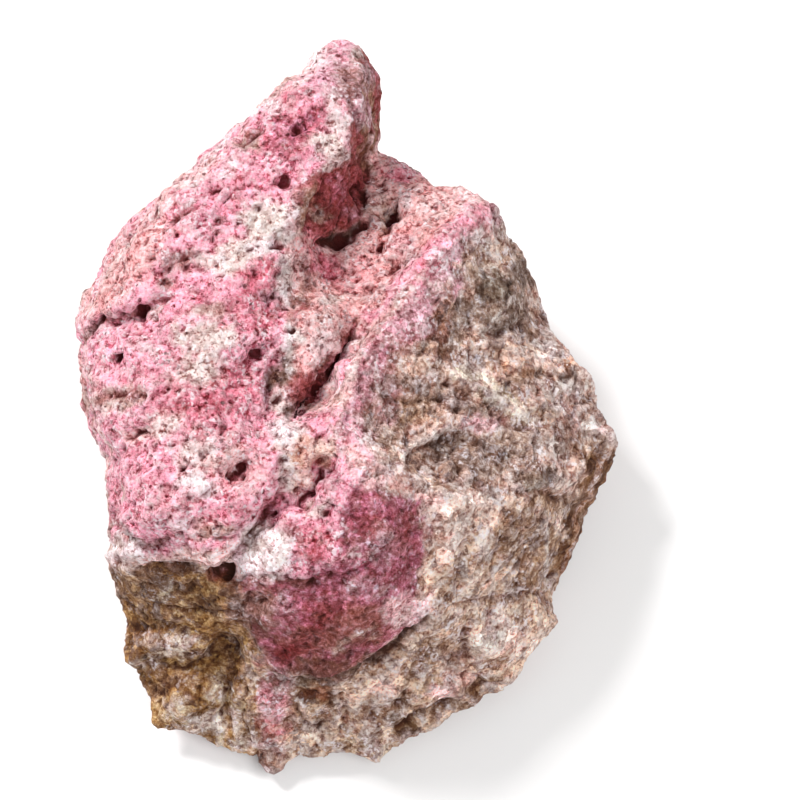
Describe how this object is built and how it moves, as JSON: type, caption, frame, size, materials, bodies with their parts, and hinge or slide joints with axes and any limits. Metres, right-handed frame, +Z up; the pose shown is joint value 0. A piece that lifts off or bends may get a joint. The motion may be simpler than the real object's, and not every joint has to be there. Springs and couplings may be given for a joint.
{
  "type": "thulite rock",
  "caption": "Loose lump of pink thulite: a porous pink slab and spire, a smooth pink bulge and brown broken faces, resting on a flat underside.",
  "frame": {"origin": "centre of the bounding box, on the surface that the lump rests on", "axes": "+Y along the lump towards its spire, +Z up from the rest face"},
  "size_m": [0.0632, 0.0834, 0.0355],
  "materials": {
    "thulite": "rough porous pink crust over granular tan and grey-brown broken faces"
  },
  "bodies": {
    "root": {"thulite_rock": "thulite"}
  },
  "joints": []
}
